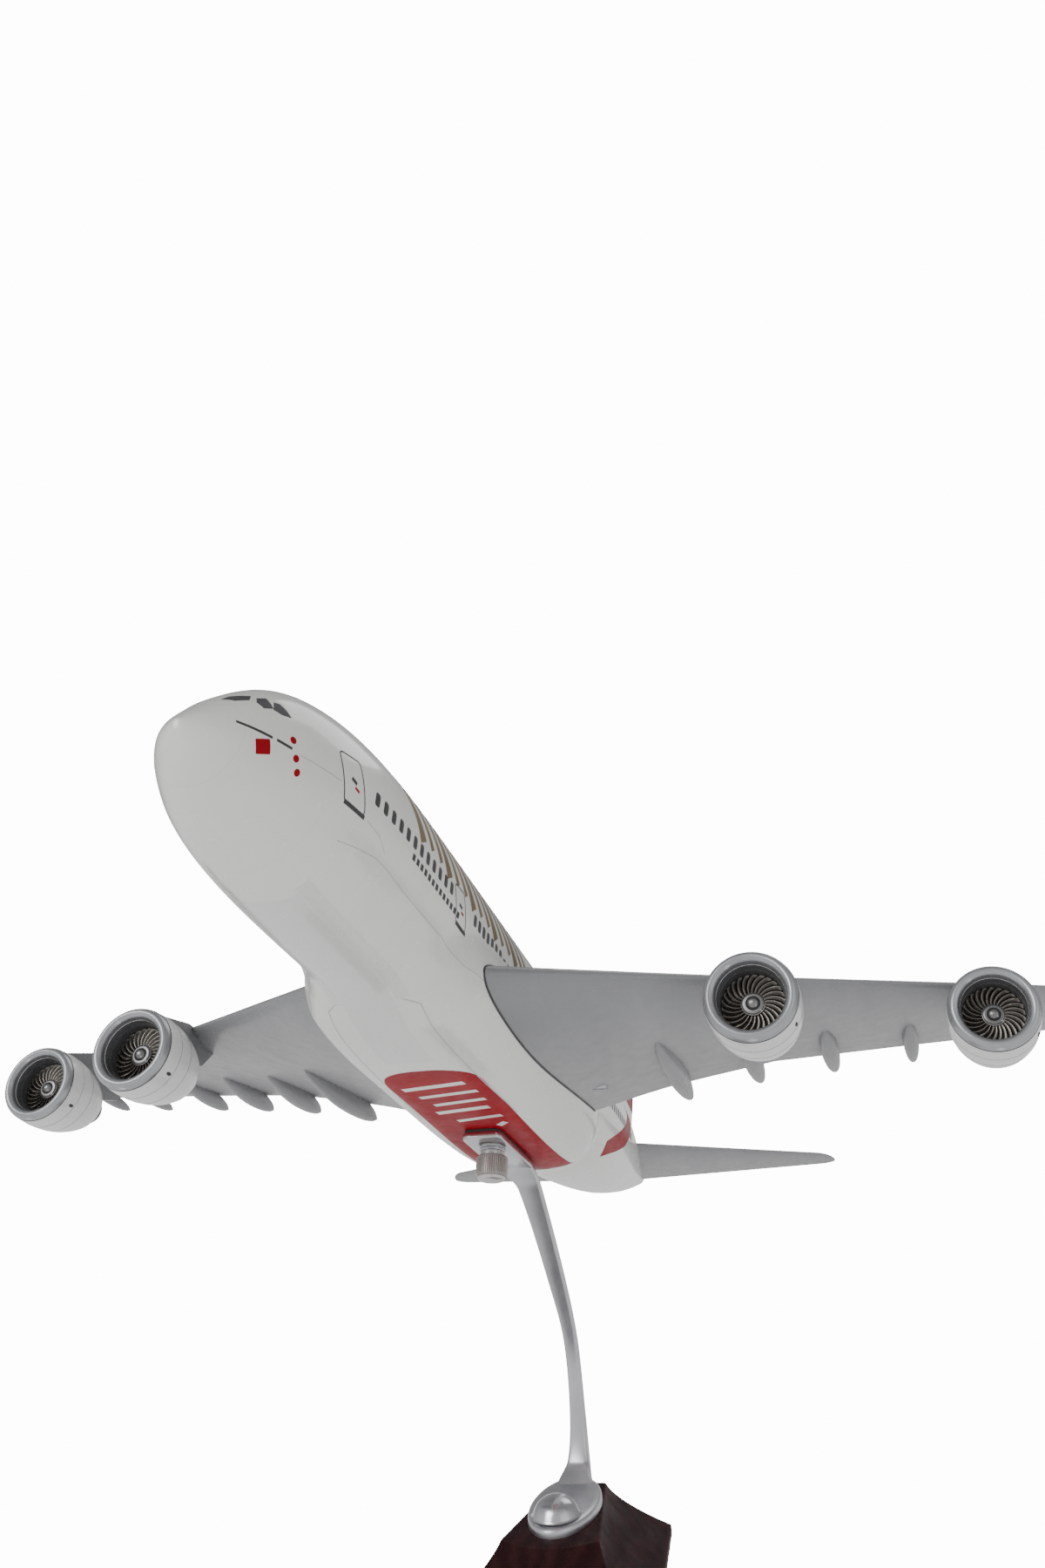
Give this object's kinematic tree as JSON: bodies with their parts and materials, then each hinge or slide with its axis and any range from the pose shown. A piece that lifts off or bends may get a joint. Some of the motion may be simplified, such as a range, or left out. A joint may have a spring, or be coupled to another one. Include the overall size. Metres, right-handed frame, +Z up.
{
  "type": "desktop airliner model",
  "caption": "Nose-up two-deck airliner model with engines under swept wings, clamped by a thumb screw to a curved arm on a flared wooden base.",
  "frame": {"origin": "middle of the base's underside, on the desk", "axes": "+Z up, nose towards -Y, port wing towards +X; the airliner is pitched 25 degrees nose-up"},
  "size_m": [0.495, 0.4467, 0.2965],
  "materials": {
    "hull_white": "glossy lacquered paint over cast resin",
    "fin_white": null,
    "wing_grey": "satin grey paint",
    "cowl_white": "glossy paint",
    "lip_silver": "satin silver paint",
    "fan_bronze": "dark bronze metallic paint",
    "core_grey": "dark metallic paint",
    "pylon_grey": "satin grey paint",
    "steel": "bright drawn steel",
    "brass": "turned brass",
    "rubber_black": "matt rubber",
    "arm_chrome": "bright chrome plate on cast zinc",
    "knob_nickel": "satin nickel plate",
    "base_wood": "dark mahogany lacquer",
    "felt_dark": "pressed felt"
  },
  "bodies": {
    "stand": {"felt_pad": "felt_dark", "wood_base": "base_wood", "base_bolt": "steel", "foot_dome_nut": "arm_chrome", "stand_arm": "arm_chrome", "plate_pad": "rubber_black"},
    "aircraft": {"fuselage": "hull_white", "left_wing": "wing_grey", "right_wing": "wing_grey", "left_tailplane": "wing_grey", "right_tailplane": "wing_grey", "left_flap_track_fairings": "wing_grey", "right_flap_track_fairings": "wing_grey", "left_wingtip_fence": "wing_grey", "right_wingtip_fence": "wing_grey", "fin": "fin_white", "left_inner_nacelle": "cowl_white", "left_inner_intake_lip": "lip_silver", "left_inner_core_cowl": "core_grey", "left_inner_pylon": "pylon_grey", "left_inner_fan_shaft": "steel", "left_outer_nacelle": "cowl_white", "left_outer_intake_lip": "lip_silver", "left_outer_core_cowl": "core_grey", "left_outer_pylon": "pylon_grey", "left_outer_fan_shaft": "steel", "right_inner_nacelle": "cowl_white", "right_inner_intake_lip": "lip_silver", "right_inner_core_cowl": "core_grey", "right_inner_pylon": "pylon_grey", "right_inner_fan_shaft": "steel", "right_outer_nacelle": "cowl_white", "right_outer_intake_lip": "lip_silver", "right_outer_core_cowl": "core_grey", "right_outer_pylon": "pylon_grey", "right_outer_fan_shaft": "steel", "wing_dowels": "steel", "tailplane_dowel": "steel", "fin_dowels": "steel", "threaded_insert": "brass"},
    "washer": {"clamp_washer": "knob_nickel"},
    "clamp_knob": {"thumb_screw": "knob_nickel"},
    "left_inner_rotor": {"left_inner_fan": "fan_bronze", "left_inner_spinner": "fan_bronze"},
    "left_outer_rotor": {"left_outer_fan": "fan_bronze", "left_outer_spinner": "fan_bronze"},
    "right_inner_rotor": {"right_inner_fan": "fan_bronze", "right_inner_spinner": "fan_bronze"},
    "right_outer_rotor": {"right_outer_fan": "fan_bronze", "right_outer_spinner": "fan_bronze"}
  },
  "joints": [
    {"name": "aircraft_swivel", "type": "hinge", "parent": "stand", "child": "aircraft", "pos_m": [0, -0.02617, 0.17286], "axis": [0, -0.4226, -0.9063], "range_deg": [-20, 20]},
    {"name": "washer_travel", "type": "slide", "parent": "stand", "child": "washer", "axis": [0, -0.4226, -0.9063], "range_m": [0, 0.0014]},
    {"name": "knob_turn", "type": "hinge", "parent": "washer", "child": "clamp_knob", "pos_m": [0, -0.02617, 0.17286], "axis": [0, -0.4226, -0.9063], "range_deg": [0, 720]},
    {"name": "left_inner_fan_spin", "type": "hinge", "parent": "aircraft", "child": "left_inner_rotor", "pos_m": [0.09469, -0.07717, 0.21195], "axis": [0, 0.9063, -0.4226], "continuous": true},
    {"name": "left_outer_fan_spin", "type": "hinge", "parent": "aircraft", "child": "left_outer_rotor", "pos_m": [0.15969, -0.03409, 0.20083], "axis": [0, 0.9063, -0.4226], "continuous": true},
    {"name": "right_inner_fan_spin", "type": "hinge", "parent": "aircraft", "child": "right_inner_rotor", "pos_m": [-0.09469, -0.07717, 0.21195], "axis": [0, 0.9063, -0.4226], "continuous": true},
    {"name": "right_outer_fan_spin", "type": "hinge", "parent": "aircraft", "child": "right_outer_rotor", "pos_m": [-0.15969, -0.03409, 0.20083], "axis": [0, 0.9063, -0.4226], "continuous": true}
  ],
  "couplings": [
    {"joint": "knob_turn", "follows": "washer_travel", "rad_per_m": 8976}
  ]
}
